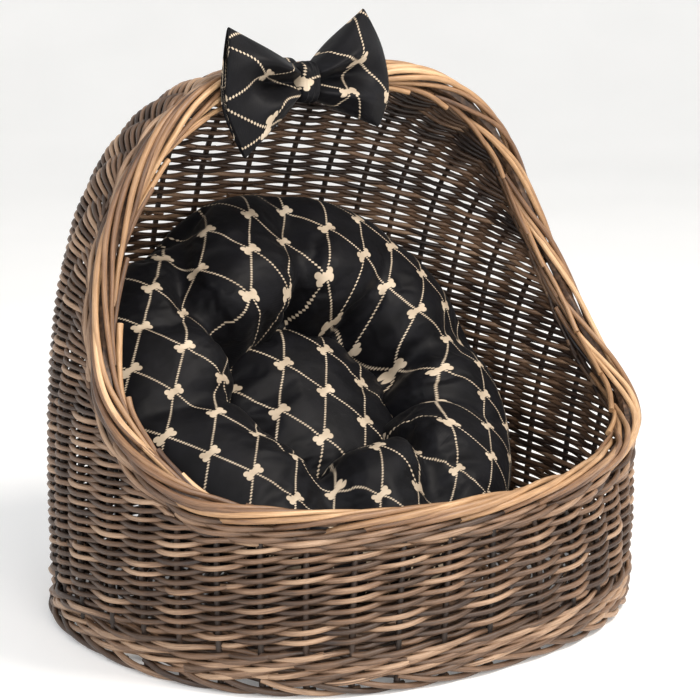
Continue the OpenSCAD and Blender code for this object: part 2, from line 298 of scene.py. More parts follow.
def rim(angle):
    """Points of the rim line; 0 is the front, 90 the +X side and 180 the top of the hood."""
    turn = wrapped(angle)
    place = np.abs(turn) / 180 * (len(RIM_POINTS) - 1)
    i = np.clip(place.astype(int), 0, len(RIM_POINTS) - 2)
    point = catmull(*(CONTROL[i + k] for k in range(4)), (place - i)[..., None])
    point[..., 0] *= np.where(turn < 0, -1, 1)
    return point + [0, CENTRE_SHIFT, 0]


def plan(angle, grow=0.0, height=0.0):
    """Points of the base oval, grown outwards by a distance."""
    angle = np.radians(angle)
    side, depth = np.sin(angle), -np.cos(angle)
    reach = np.where(depth < 0, FRONT_REACH, BACK_REACH) + grow
    x = (HALF_WIDTH + grow) * np.sign(side) * np.abs(side) ** (2 / PLAN_POWER)
    y = reach * np.sign(depth) * np.abs(depth) ** (2 / PLAN_POWER) + CENTRE_SHIFT
    return np.stack([x, y, np.broadcast_to(height, x.shape)], -1)


def shoulder(angle):
    fullness = FRONT_FULLNESS + (BACK_FULLNESS - FRONT_FULLNESS) * smooth((np.abs(wrapped(angle)) - 40) / 100)
    return plan(angle, WALL_SWELL * HALF_WIDTH, fullness * rim(angle)[..., 2])


def wall(angle, v):
    v = np.asarray(v)[..., None]
    return (1 - v) ** 2 * plan(angle) + 2 * v * (1 - v) * shoulder(angle) + v ** 2 * rim(angle)


def around_once(count, whole=2 * math.pi):
    """Even steps round a ring, without the last one, which is the first again."""
    return np.linspace(0, whole, count, endpoint=False)


def unit(vectors):
    return vectors / np.linalg.norm(vectors, axis=-1, keepdims=True)


def on_wall(angle, v, out=0.0, up=0.0):
    """Points at a distance outwards and upwards from the wall's middle surface."""
    angle, v = np.broadcast_arrays(np.asarray(angle, float), v)
    along = unit(wall(angle + 1, v) - wall(angle - 1, v))
    rising = unit(wall(angle, v + 0.01) - wall(angle, v - 0.01))
    outward = unit(np.cross(along, rising))
    rising = np.cross(outward, along)
    return wall(angle, v) + outward * np.asarray(out)[..., None] + rising * np.asarray(up)[..., None]


def at_height(angle, z):
    k, h = shoulder(angle)[..., 2], rim(angle)[..., 2]
    return z / (k + np.sqrt(k * k + (h - 2 * k) * z))


def below_rim(angle, distance):
    return 1 - distance / (2 * np.linalg.norm(rim(angle) - shoulder(angle), axis=-1))


print("rim height: front", rim(np.array([0.0]))[0, 2], "m, hood", rim(np.array([180.0]))[0, 2], "m")

# %% [markdown]
# ## One Geometry Nodes tree for every rod
# The basket holds over five hundred willow rods, and each is a round stick that follows a bent line. A curve object
# for each would be slow, so each woven band is one mesh of bare lines, and one node tree turns all of its lines into
# rods. The tree reads the thickness stored at each point, so a rod can taper from butt to tip, and it stores the
# place around the rod for the streaks.

# %% The rod tree
def rod_tree():
    tree = bpy.data.node_groups.new("willow_rods", "GeometryNodeTree")
    for name, way, kind in (("Lines", "INPUT", "Geometry"), ("Sides", "INPUT", "Int"),
                            ("Finish", "INPUT", "Material"), ("Rods", "OUTPUT", "Geometry")):
        tree.interface.new_socket(name, in_out=way, socket_type="NodeSocket" + kind)
    source = add(tree, "NodeGroupInput")
    lines = add(tree, "GeometryNodeMeshToCurve", inputs={"Mesh": source.outputs["Lines"]})
    circle = add(tree, "GeometryNodeCurvePrimitiveCircle", {"mode": "RADIUS"},
                 {"Resolution": source.outputs["Sides"], "Radius": 1.0})
    profile = add(tree, "GeometryNodeStoreNamedAttribute", {"data_type": "FLOAT_VECTOR", "domain": "POINT"},
                  {"Geometry": circle.outputs["Curve"], "Name": "around",
                   "Value": add(tree, "GeometryNodeInputPosition").outputs[0]})
    thick = add(tree, "GeometryNodeInputNamedAttribute", {"data_type": "FLOAT"}, {"Name": "thick"})
    rods = add(tree, "GeometryNodeCurveToMesh", inputs={
        "Curve": lines.outputs[0], "Profile Curve": profile.outputs[0], "Scale": thick.outputs[0], "Fill Caps": True})
    soft = add(tree, "GeometryNodeSetShadeSmooth", inputs={"Geometry": rods.outputs[0]})
    real = add(tree, "GeometryNodeRealizeInstances", inputs={"Geometry": soft.outputs[0]})
    done = add(tree, "GeometryNodeSetMaterial", inputs={"Geometry": real.outputs[0],
                                                       "Material": source.outputs["Finish"]})
    add(tree, "NodeGroupOutput", inputs={"Rods": done.outputs[0]})
    return tree


ROD_TREE = rod_tree()
SOCKET = {item.name: item.identifier for item in ROD_TREE.interface.items_tree if item.in_out == "INPUT"}
print("rod tree inputs:", SOCKET)

# %% [markdown]
# ### From lines to a plain mesh
# A finished piece is a plain mesh with nothing left to work out. The result of the tree is copied into a new mesh
# and the modifier is removed. The signed volume tells whether the faces point outwards.

# %% Helpers that make a piece
def link(obj):
    scene.collection.objects.link(obj)
    return obj


def coordinates(mesh):
    points = np.empty(len(mesh.vertices) * 3, np.float32)
    mesh.vertices.foreach_get("co", points)
    return points.reshape(-1, 3).astype(float)


def settle(obj):
    """Replaces an object's mesh by what its modifiers make of it, with faces pointing outwards."""
    graph = bpy.context.evaluated_depsgraph_get()
    mesh = bpy.data.meshes.new_from_object(obj.evaluated_get(graph), preserve_all_data_layers=True, depsgraph=graph)
    obj.modifiers.clear()
    obj.data = mesh
    mesh.calc_loop_triangles()
    corners = np.empty(len(mesh.loop_triangles) * 3, np.int32)
    mesh.loop_triangles.foreach_get("vertices", corners)
    a, b, c = coordinates(mesh)[corners.reshape(-1, 3)].transpose(1, 0, 2)
    if np.einsum("ij,ij->i", a, np.cross(b, c)).sum() < 0:
        mesh.flip_normals()
    return obj


def rod(points, radius, tone, wear_and_light=0.5):
    """One rod: its line, its radius and its tone; the last value is 0 in the hollows, painted darker as shade, and 1
    where it stands out, painted paler as rubbed wear and painted light.
    """
    points = np.asarray(points)
    length = np.concatenate([[0], np.cumsum(np.linalg.norm(np.diff(points, axis=0), axis=1))])
    count = len(points)
    return {"points": points, "thick": np.broadcast_to(radius, count), "tone": np.full(count, tone),
            "wear_and_light": np.broadcast_to(wear_and_light, count), "along": length + tone * 3}


def make_rods(name, rods, finish, sides=6):
    """A piece made of many rods."""
    counts = [len(r["points"]) for r in rods]
    mesh = bpy.data.meshes.new(name)
    mesh.vertices.add(sum(counts))
    mesh.vertices.foreach_set("co", np.concatenate([r["points"] for r in rods]).ravel())
    first = np.concatenate([np.arange(n - 1) + start for n, start in zip(counts, np.cumsum([0] + counts))])
    mesh.edges.add(len(first))
    mesh.edges.foreach_set("vertices", np.stack([first, first + 1], 1).ravel())
    for key in ("thick", "tone", "wear_and_light", "along"):
        values = np.concatenate([r[key] for r in rods]).astype(np.float32)
        mesh.attributes.new(key, "FLOAT", "POINT").data.foreach_set("value", values)
    piece = link(bpy.data.objects.new(name, mesh))
    tool = piece.modifiers.new("rods", "NODES")
    tool.node_group = ROD_TREE
    tool[SOCKET["Sides"]] = sides
    tool[SOCKET["Finish"]] = finish
    settle(piece)
    print(name, "-", len(rods), "rods,", len(piece.data.loop_triangles), "triangles")
    return piece


# %% [markdown]
# ## Randing: the wall's plain weave
# A rod starts at every stake and passes in front of one stake and behind the next. All of them climb together, one
# pitch for each stake, so the strokes on the outside are short parallel bars that slant up to the right. Rods are only
# about half a metre long, so one ends behind a stake and the next takes over. Rows could also lie level, each one
# round the basket, but then the strokes would not slant.

# %% Set out the stakes and the climb of the rods
STAKES = 40
FINE = 8  # points on a rod from one stake to the next
ROUND_ROWS = 17
UPSETT_TOP, ROUND_TOP = 0.040, 0.116
PITCH = (ROUND_TOP - UPSETT_TOP) / ROUND_ROWS


def stake_angle(u):
    """The wall's angle at stake number u; fractions lie between stakes."""
    return (np.asarray(u, float) + 0.5) * 360 / STAKES


REACH = (7, 15)  # stakes that one rod passes
SWING, TUCK = 4.6 * MM, 3.0 * MM  # how far a stroke stands out, and how far a rod's end is tucked in


def strand_rods(start, first, last, v_of):
    """The rods of one climbing strand that began at a stake, between two places counted in grid steps."""
    made, here = [], first
    while here < last:
        there = min(last, here + random.randint(*REACH) * FINE + random.randint(0, FINE // 2))
        if last - there < 3 * FINE:
            there = last
        i = np.arange(here, there + 1 + (FINE // 2 if there < last else 0))
        t = i / FINE
        beat = np.cos(math.pi * t)
        tail = np.minimum(i - i[0], i[-1] - i) / (0.6 * FINE)
        out = beat * SWING * smooth(0.25 + tail) - TUCK * (1 - smooth(tail))
        wander = 0.3 * MM * np.sin(t * random.uniform(0.5, 1.4) + random.uniform(0, 6.3))
        thick = random.uniform(2.25, 2.7) * MM * np.linspace(1.05, 0.92, len(i))
        angle = stake_angle(start + t)
        # The last value paints strokes in front paler and a rod behind a stake darker: rubbed wear, painted light and
        # painted shade.
        made.append(rod(on_wall(angle, v_of(angle, i), out + wander, wander - 0.3 * MM * beat), thick,
                        random.random(), 0.5 + 0.5 * beat))
        here = there
    return made


side_rods = []
for start in range(STAKES):
    side_rods += strand_rods(start, 0, ROUND_ROWS * FINE,
                             lambda angle, i: at_height(angle, UPSETT_TOP + (i / FINE + 0.5) * PITCH))
side_weave = make_rods("side_weave_rods", side_rods, wall_willow)
print(ROUND_ROWS, "full rows,", round(PITCH / MM, 1), "mm apart")

# %% [markdown]
# ### The hood's rows
# Above the full rows the strands climb on, but only where the wall is still higher. A strand that meets the rim ends
# there, and one that comes out from under it further round begins there. Heights are measured along the stakes and
# a little closer at the sides, so the rows dip towards the rim. Two pieces, left and right, keep each piece light.

# %% Weave the hood
WALING_LOW = 22 * MM
MOST_ROWS = 130  # more than the climb to the top of the hood takes
grid_angle = stake_angle(np.arange(STAKES * FINE) / FINE)
levels = np.linspace(0, 1, 90)[:, None]
low_v, high_v = at_height(grid_angle, ROUND_TOP), below_rim(grid_angle, WALING_LOW)
climb_v = low_v + (high_v - low_v) * levels
climb = wall(np.broadcast_to(grid_angle, climb_v.shape), climb_v)
climb_length = np.concatenate([np.zeros((1, len(grid_angle))),
                               np.cumsum(np.linalg.norm(np.diff(climb, axis=0), axis=2), axis=0)])
closeness = 0.92 + 0.12 * smooth((np.abs(wrapped(grid_angle)) - 90) / 70)
hood_rods = []
for start in range(STAKES):
    i = np.arange(ROUND_ROWS * FINE, (ROUND_ROWS + MOST_ROWS) * FINE)
    column = (i + start * FINE) % (STAKES * FINE)
    distance = (i / FINE - ROUND_ROWS + 0.5) * PITCH * closeness[column]
    place = np.array([np.interp(d, climb_length[:, c], climb_v[:, c]) for d, c in zip(distance, column)])
    inside = np.concatenate([[False], distance <= climb_length[-1, column], [False]])
    edges = np.nonzero(np.diff(inside.astype(int)))[0]
    for first, last in zip(edges[::2], edges[1::2]):
        first, last = max(0, first - FINE // 2), min(len(i) - 1, last + FINE // 2)  # their ends go under the rim
        if last - first > FINE:
            hood_rods += strand_rods(start, i[first], i[last], lambda angle, at: np.interp(at, i, place))
middle = np.array([r["points"][:, 0].mean() for r in hood_rods])
hood_pieces = [make_rods(f"hood_weave_{name}_rods", [r for r, m in zip(hood_rods, middle) if (m > 0) == right],
                         wall_willow) for name, right in (("left", False), ("right", True))]
print(round(climb_length[-1].max() / PITCH), "rows up to the top of the hood")

# %% [markdown]
# ## Stakes
# The stakes are thicker, straight rods that everything is woven round. Between the strokes they lie in shade and show
# as dark uprights, so their colour is painted darker as shade, with little detail.

# %% Stand the stakes
STAKE_FOOT, STAKE_TIP = 0.008, 4 * MM  # the foot's height, and how far below the rim the tip ends
HOOD_FROM = 85  # degrees from the front


def stake(number, points=26):
    angle = np.full(points, float(stake_angle(number)))
    low, high = at_height(angle[:1], STAKE_FOOT)[0], below_rim(angle[:1], STAKE_TIP)[0]
    line = on_wall(angle, np.linspace(low, high, points))
    return rod(line, np.linspace(3.1, 2.7, points) * MM, random.random(), 0.4)


def is_hood(number):
    return abs(wrapped(stake_angle(number))) > HOOD_FROM


low_stakes = make_rods("low_stake_rods", [stake(n) for n in range(STAKES) if not is_hood(n)], stake_willow, 8)
hood_stakes = make_rods("hood_stake_rods", [stake(n) for n in range(STAKES) if is_hood(n)], stake_willow, 8)

# %% [markdown]
# ## Waling: the rope-like bands
# Waling works three rods together. Each passes in front of two stakes and behind one, then the next takes its turn,
# which twists them into a rope that locks the wall. It starts the wall at the foot and finishes it under the rim. A
# helix with a period of three stakes gives that twist.

# %% Weave the waling
def waling_rods(v_of, rows, swing, lift, radius):
    made = []
    for row in range(rows):
        for strand in range(3):
            start, last = random.randrange(STAKES), STAKES
            here = 0
            while here < last:
                there = min(last, here + random.randint(9, 15))
                u = np.arange(here * FINE, there * FINE + FINE // 2) / FINE + start
                phase = np.radians((u + strand + 1.5 * row) * 120)
                tail = np.minimum(u - u[0], u[-1] - u) / 0.5
                out = swing * (0.25 + np.cos(phase)) * smooth(0.3 + tail)
                thick = radius * random.uniform(0.93, 1.08) * np.linspace(1.05, 0.92, len(u))
                angle = stake_angle(u)
                # The last value paints strands in front paler and those behind a stake darker: rubbed wear, painted
                # light and painted shade.
                made.append(rod(on_wall(angle, v_of(angle, row), out, lift * np.sin(phase)), thick,
                                random.random(), 0.5 + 0.5 * np.cos(phase)))
                here = there
    return made


UPSETT_ROWS, UPSETT_LOW = 5, 0.013
TOP_FIRST, TOP_STEP = 17.5, 6.5  # mm below the rim, and up to the next row
upsett_step = (UPSETT_TOP - UPSETT_LOW) / UPSETT_ROWS
upsett = make_rods("upsett_waling_rods", waling_rods(
    lambda angle, row: at_height(angle, UPSETT_LOW + (row + 0.5) * upsett_step),
    rows=UPSETT_ROWS, swing=5.2 * MM, lift=2.6 * MM, radius=2.6 * MM), wall_willow)
top_waling = make_rods("top_waling_rods", waling_rods(
    lambda angle, row: below_rim(angle, (TOP_FIRST - TOP_STEP * row) * MM),
    rows=2, swing=5.0 * MM, lift=2.8 * MM, radius=2.7 * MM), wall_willow)

# %% [markdown]
# ## Borders
# At the foot each bottom stick bends down and along behind its neighbours, which makes a low ring for the basket to
# stand on. At the rim the stake ends do the same with thicker rods. Each one comes up outside the wall, lies along
# the rim over the ones before it for five or six spaces, crosses the top and tucks in at the inner side. Laying one
# rod for every stake on the same rule makes the twisted border. A second round of rods fills the inner side.

# %% Helper: values that change smoothly along a rod
def along_keys(keys, s):
    """Smooth values through (place, value, value...) keys at places s from 0 to 1."""
    keys = np.array(keys, float)
    padded_keys = np.concatenate([2 * keys[:1] - keys[1:2], keys, 2 * keys[-1:] - keys[-2:-1]])
    i = np.clip(np.searchsorted(keys[:, 0], s, side="right") - 1, 0, len(keys) - 2)
    t = (s - keys[i, 0]) / (keys[i + 1, 0] - keys[i, 0])
    return catmull(*(padded_keys[i + k, 1:] for k in range(4)), t[:, None]).T


# %% Lay the foot border
FOOT_KEYS = [(0, 4.5, 15), (0.3, 7.5, 8.5), (0.65, 3.0, 3.4), (1, -5, 3.2)]  # place along, outwards, height (mm)
FOOT_SPACES, FOOT_LOWEST = 2.2, 2.95 * MM  # spaces that a rod spans, and the least height of its middle
foot_rods = []
for number in range(STAKES):
    s = np.linspace(0, 1, 20)
    out, height = along_keys(FOOT_KEYS, s) * MM
    foot_rods.append(rod(plan(stake_angle(number + FOOT_SPACES * s), out, np.maximum(height, FOOT_LOWEST)),
                         random.uniform(2.6, 2.9) * MM, random.random(), 0.6))
foot_border = make_rods("foot_border_rods", foot_rods, wall_willow, 8)

# %% Lay the rim border
# place along the rod, outwards and upwards from the rim's line (mm)
RIM_KEYS = [(0, -3, -11), (0.08, 4, -6), (0.22, 9.5, -1.5), (0.42, 10, 3.5), (0.62, 5, 7.5), (0.8, -4.5, 7),
            (1, -11, 1)]
INNER_KEYS = [(0, -15.5, 4.5), (0.35, -12.5, 2), (0.7, -11, -5), (1, -9, -14)]
rim_rods = []
for keys, count, spaces, radii in ((RIM_KEYS, STAKES, 5.6, (2.7, 3.3)), (INNER_KEYS, STAKES * 3 // 4, 3.6, (2.3, 3))):
    for number in range(count):
        s = np.linspace(0, 1, 40)
        out, up = along_keys(keys, s) * MM
        wander = np.array([random.uniform(-1.7, 1.7) for _ in range(8)]) * MM
        drift = np.interp(s, np.linspace(0, 1, 4), wander[:4]), np.interp(s, np.linspace(0, 1, 4), wander[4:])
        calm = smooth(s * 5) * smooth((1 - s) * 5)
        bulge = 1 + 0.05 * np.sin(s * 9 + number)
        u = number * STAKES / count + spaces * random.uniform(0.88, 1.14) * s + random.uniform(-0.3, 0.3)
        thick = random.uniform(*radii) * MM * np.linspace(1.06, 0.82, len(s)) * bulge
        # The rods are painted paler towards the top of the rim: a painted highlight on the upper side.
        rim_rods.append(rod(on_wall(stake_angle(u), np.ones(len(s)), out + drift[0] * calm, up + drift[1] * calm),
                            thick, random.random(), smooth((up / MM + 6) / 14)))
rim_border = make_rods("rim_border_rods", rim_rods, border_willow, 8)

# %% [markdown]
# ## The base
# The bottom is an oval of weaving on a grid of thick sticks: long ones threaded through pierced cross ones. It shows
# from below and round the cushion's edge. The sticks of the frame already have the right shape and only need the
# willow finish. The weaving is a set of ovals, each going over one stick and under the next.

# %% Weave the base
STICK_Z, BASE_SWING = 17.5 * MM, 4.4 * MM
LONG_SPACE, CROSS_SPACE = 0.040, 0.060
BASE_RINGS, BASE_MARGIN = 44, 8 * MM
base_rods = []
for ring in range(BASE_RINGS):
    size = (ring + 1.3) / (BASE_RINGS + 0.6)
    count = max(24, int(190 * size))
    line = plan(np.linspace(0, 360, count) + random.uniform(0, 360), -BASE_MARGIN)
    line = (line - [0, CENTRE_SHIFT, 0]) * size + [0, CENTRE_SHIFT, 0]
    run = unit(np.gradient(line, axis=0))
    across = run[:, 0] ** 2
    over_cross = np.cos(math.pi * (line[:, 0] / CROSS_SPACE + ring))
    over_long = np.cos(math.pi * ((line[:, 1] - CENTRE_SHIFT - LONG_SPACE / 2) / LONG_SPACE + ring))
    line[:, 2] = STICK_Z + BASE_SWING * (across * over_cross + (1 - across) * over_long)
    base_rods.append(rod(line, random.uniform(2.4, 2.75) * MM, random.random(), 0.35))
base_weave = make_rods("base_weave_rods", base_rods, wall_willow)


def plain_willow_finish():
    """Stained willow with a fine even grain, for the frame's own sticks."""
    finish, tree = new_finish("brown_stained_willow_sticks")
    place = add(tree, "ShaderNodeTexCoord").outputs["Object"]
    grain = noise(tree, place, 190.0, 3.0)
    paint(tree, {"Base Color": ramp(tree, grain, WALL_STOPS[:4]), "Roughness": 0.5, "IOR": 1.5,
                 "Normal": bump(tree, grain, 0.4, 0.0005)})
    return finish


stick_willow = plain_willow_finish()
for name in ("base_long_sticks", "base_cross_sticks", "rim_core"):
    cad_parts[name].data.materials.clear()
    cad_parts[name].data.materials.append(stick_willow)
print("frame sticks finished in", stick_willow.name)

# %% [markdown]
# ## The cushion's own coordinates
# The cushion is sewn flat, as a ring round a pad, and then bends where it leans on the back of the basket. So a point
# has a flat place: p across, q up the slope and h above the middle of the cloth, and "bed" bends that place into the
# basket. "unbed" goes back, which later tells each point where it lies on the printed cloth.

# %% Bend and unbend
CUSHION_Y, CUSHION_Z = 0.042 + CENTRE_SHIFT, 0.177
LEAN, BEND = math.radians(44), 0.380
ARC_Y, ARC_Z = CUSHION_Y - BEND * math.sin(LEAN), CUSHION_Z + BEND * math.cos(LEAN)
RING_RADIUS, RING_FAT = 0.170, 0.064
PAD_RADIUS = 0.102


def bed(p, q, h):
    turn, radius = LEAN + q / BEND, BEND - h
    return np.stack([p, ARC_Y + radius * np.sin(turn), ARC_Z - radius * np.cos(turn)], -1)


def unbed(points):
    dy, dz = points[:, 1] - ARC_Y, ARC_Z - points[:, 2]
    return points[:, 0], (np.arctan2(dy, dz) - LEAN) * BEND, BEND - np.hypot(dy, dz)


PRINT_TURN = math.radians(62)  # how far the cloth was turned when the cushion was cut


def turned(x, y, angle):
    """A place on the cloth, for a piece that was cut with the cloth turned by an angle."""
    return np.stack([x * math.cos(angle) + y * math.sin(angle), y * math.cos(angle) - x * math.sin(angle),
                     np.zeros(len(x))], 1)


def flat_place(points, ring):
    """Each point's place on the printed cloth. On the ring the cloth runs from the inner seam up and over."""
    p, q, h = unbed(points)
    radius, turn = np.hypot(p, q), np.arctan2(p, -q)
    if ring:
        tube = np.arctan2(h, radius - RING_RADIUS)
        radius = PAD_RADIUS + RING_FAT * 0.5 * ((1 + np.cos(tube)) + (math.pi - tube))
    return turned(radius * np.sin(turn), -radius * np.cos(turn), PRINT_TURN)


print("the cushion's middle is at", bed(0.0, 0.0, 0.0))

# %% [markdown]
# ## Swelling cloth
# Cloth that is stuffed swells between the stitches that hold it. The cloth solver gives that: the piece is
# remeshed evenly, the points at the gathers are pinned, and a little pressure blows the rest out for twenty frames.
# Each point's travel is capped, so the piece stays in its place, and the result is frozen into the mesh.

# %% The swelling helper
def grid_piece(name, rings, closed_rings=False):
    """A smooth mesh from rings of points; open ends are closed to a point at their middle."""
    rings = np.asarray(rings)
    count, sides = rings.shape[:2]
    points = rings.reshape(-1, 3)
    faces = []
    for i in range(count if closed_rings else count - 1):
        n = (i + 1) % count
        faces += [(i * sides + j, n * sides + j, n * sides + (j + 1) % sides, i * sides + (j + 1) % sides)
                  for j in range(sides)]
    if not closed_rings:
        points = np.concatenate([points, [rings[0].mean(0), rings[-1].mean(0)]])
        faces += [(count * sides, j, (j + 1) % sides) for j in range(sides)]
        last = (count - 1) * sides
        faces += [(count * sides + 1, last + (j + 1) % sides, last + j) for j in range(sides)]
    mesh = bpy.data.meshes.new(name)
    mesh.from_pydata(points.tolist(), [], faces)
    mesh.polygons.foreach_set("use_smooth", [True] * len(faces))
    piece = link(bpy.data.objects.new(name, mesh))
    mesh.materials.append(printed_cloth)
    return settle(piece)


PRESSURE, SPARE, SWELL_FRAMES = 4.0, 0.05, 20  # SPARE is the looseness of the cloth


def swell(piece, stitched, cap, voxel=5 * MM):
    """Remeshes the piece and blows it up with its stitched points held, by no more than the cap."""
    remesh = piece.modifiers.new("even", "REMESH")
    remesh.mode, remesh.voxel_size = "VOXEL", voxel
    settle(piece)
    start = coordinates(piece.data)
    group = piece.vertex_groups.new(name="stitched")
    for index, weight in enumerate(stitched(start)):
        if weight > 0.02:
            group.add([index], float(weight), "REPLACE")
    cloth = piece.modifiers.new("cloth", "CLOTH")
    rules = cloth.settings
    rules.quality, rules.mass = 5, 0.3
    rules.tension_stiffness = rules.compression_stiffness = 12
    rules.bending_stiffness = 0.6
    rules.use_pressure, rules.uniform_pressure_force = True, PRESSURE
    rules.effector_weights.gravity = 0
    rules.shrink_min = -SPARE
    rules.vertex_group_mass = "stitched"
    for step in range(SWELL_FRAMES):
        scene.frame_set(step + 1)
    graph = bpy.context.evaluated_depsgraph_get()
    moved = coordinates(piece.evaluated_get(graph).data) - start
    travel = np.linalg.norm(moved, axis=1, keepdims=True)
    moved *= np.minimum(1, cap / np.maximum(travel, 1e-9))
    piece.modifiers.clear()
    piece.vertex_groups.clear()
    piece.data.vertices.foreach_set("co", (start + moved).ravel())
    scene.frame_set(1)
    print(piece.name, "swelled by up to", round(float(travel.max()) / MM, 1), "mm")
    return piece


def store_print(piece, places):
    printed = piece.data.attributes.new("print", "FLOAT_VECTOR", "POINT")
    printed.data.foreach_set("vector", places.astype(np.float32).ravel())


def finish_cloth(piece, places):
    """Smooths the piece once and stores each point's place on the printed cloth, by a rule or from a list."""
    by_rule = callable(places)
    if not by_rule:
        store_print(piece, places)
    piece.modifiers.new("smooth", "SUBSURF").levels = 1
    piece.modifiers[0].render_levels = 1
    settle(piece)
    piece.data.polygons.foreach_set("use_smooth", [True] * len(piece.data.polygons))
    if by_rule:
        store_print(piece, places(coordinates(piece.data)))
    print(piece.name, "-", len(piece.data.loop_triangles), "triangles")
    return piece


# %% [markdown]
# ## The ring of the cushion
# The ring is a fat roll whose cloth is gathered hard at the inner seam. Deep creases run out from the seam and
# divide it into four lobes. Each crease is given by its angle at the seam, on the crest and at the outer side, by
# its depth, and by its width. The stitches hold the creases while the lobes swell.

# %% Shape and swell the ring
# angle at the seam, on the crest and at the outer side (degrees), depth at each (mm), width (degrees)
CREASES = [(240, 226, 203, 34, 26, 12, 7.5), (182, 178, 172, 30, 12, 3, 7), (322, 330, 338, 34, 24, 8, 8),
           (28, 8, 0, 32, 22, 6, 7.5), (95, 100, 104, 22, 7, 0, 8), (140, 138, 136, 20, 4, 0, 6),
           (268, 270, 272, 16, 3, 0, 6), (62, 60, 58, 18, 4, 0, 6)]


def crease_depth(turn, tube):
    """How deep the creases cut at a ring angle and a tube angle, both in degrees, and the stitches' hold."""
    depth = np.zeros(np.broadcast(turn, tube).shape)
    hold = np.zeros_like(depth)
    for seam, crest, outer, deep, middle, shallow, width in CREASES:
        spot = np.interp(np.abs(tube), [0, 90, 180], [outer, crest, seam])
        amount = np.interp(tube, [-90, -20, 90, 180], [0, shallow, middle, deep])
        near = np.exp(-((wrapped(turn - spot)) / width) ** 2)
        depth = np.maximum(depth, amount * near)
        hold = np.maximum(hold, smooth((amount - 8) / 10) * smooth((near - 0.55) / 0.4))
    return depth * MM, hold


RING_STEPS, TUBE_STEPS = 180, 56
ROLL = 53 * MM  # radius of the roll before the solver swells it
turn, tube = np.meshgrid(around_once(RING_STEPS, 360), around_once(TUBE_STEPS, 360) - 180, indexing="ij")
depth, _ = crease_depth(turn, tube)
inner = np.maximum(smooth((tube - 70) / 60), smooth((-tube - 130) / 50))
sag = 20 + 20 * np.exp(-((wrapped(turn - 175) / 55) ** 2)) + 12 * np.exp(-((wrapped(turn - 12) / 30) ** 2))
squeeze = 1 - 0.15 * np.exp(-((wrapped(turn - 55) / 45) ** 2))
fat = ROLL + sag * inner * MM - depth
radius = RING_RADIUS * squeeze + fat * np.cos(np.radians(tube))
flat_turn = np.radians(turn)
ring_cover = grid_piece("cushion_ring_cloth", bed(radius * np.sin(flat_turn), -radius * np.cos(flat_turn),
                                                  fat * np.sin(np.radians(tube))), closed_rings=True)


def ring_stitches(points):
    p, q, h = unbed(points)
    around = np.degrees(np.arctan2(p, -q)) % 360
    tube = np.degrees(np.arctan2(h, np.hypot(p, q) - RING_RADIUS))
    _, hold = crease_depth(around, tube)
    return np.maximum(hold, smooth((np.abs(tube) - 150) / 15))


swell(ring_cover, ring_stitches, cap=22 * MM)
finish_cloth(ring_cover, lambda points: flat_place(points, ring=True))

# %% [markdown]
# ## The pad and the underside
# The pad is a thinner pillow sewn into the ring's middle. It sits a little lower than the ring and crowns between
# its gathers. A flat round of the same cloth closes the underside, and a gathered cord of cloth covers the seam.

# %% Shape the pad
PAD_HALF, PAD_SINK = 0.036, -0.018
latitude, turn = np.meshgrid(np.radians(np.linspace(-86, 86, 26)), around_once(72, 360), indexing="ij")
pucker = 1 - 0.035 * np.cos(np.radians(turn * 9)) * np.cos(latitude) ** 2
radius = (PAD_RADIUS - 3 * MM) * np.cos(latitude) ** 0.6 * pucker
flat_turn = np.radians(turn)
pad_cover = grid_piece("cushion_pad_cloth", bed(radius * np.sin(flat_turn), -radius * np.cos(flat_turn),
                                                PAD_SINK + PAD_HALF * np.sin(latitude)))


def pad_stitches(points):
    p, q, h = unbed(points)
    return smooth((np.hypot(p, q) - 92 * MM) / (6 * MM))


swell(pad_cover, pad_stitches, cap=13 * MM, voxel=4 * MM)
finish_cloth(pad_cover, lambda points: flat_place(points, ring=False))

# %% Make the underside and the seam cord
UNDER_H, UNDER_POINTS = -0.048, 48
radii = np.array([4, 34, 66, 98, 98.6, 66, 34, 4]) * MM
heights = np.array([-1.5, -1.7, -1.3, -1.0, 0, 0, 0, 0]) * MM + UNDER_H
turn = np.radians(around_once(UNDER_POINTS, 360))
rings = [bed(r * np.sin(turn), -r * np.cos(turn), np.full(UNDER_POINTS, h)) for r, h in zip(radii, heights)]
under_panel = finish_cloth(grid_piece("cushion_under_cloth", rings), lambda points: flat_place(points, ring=False))


GATHERS, GATHER = 36, 0.8 * MM
turn = np.radians(np.linspace(0, 360, 4 * GATHERS + 1))
radius = (PAD_RADIUS + 2 * MM) + GATHER * np.cos(turn * GATHERS)
line = bed(radius * np.sin(turn), -radius * np.cos(turn), 10 * MM + GATHER * np.sin(turn * GATHERS))
cord_piece = make_rods("cushion_seam_cord_cloth", [rod(line, 1.6 * MM, 0.1, 0.1)], printed_cloth, 8)
store_print(cord_piece, np.full((len(cord_piece.data.vertices), 3), 0.02))  # a plain spot of the cloth

# %% [markdown]
# ## The bow
# The bow is a stuffed tube of the cushion's cloth, pinched in the middle by a band. Each side opens from the band to
# an outer edge with two corners, and a deep fold runs out from the band between an upper and a lower puff. Each
# side is built from four points of its outer edge, and its inner end is the band.

# %% Shape the two loops
bow_low, bow_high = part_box("bow_knot_band")
BOW_X, BOW_Y, BOW_Z = (bow_low + bow_high) / 2 + Vector((0, 4 * MM, 0))
# points of the outer edge, from the upper corner to the lower: x, y, z from the band's middle (mm)
LEFT_EDGE = [(-80, 4, 53), (-93, -10, 22), (-92, -6, -20), (-76, -14, -66)]
RIGHT_EDGE = [(84, 14, 66), (95, 2, 28), (97, -6, -12), (82, -12, -46)]


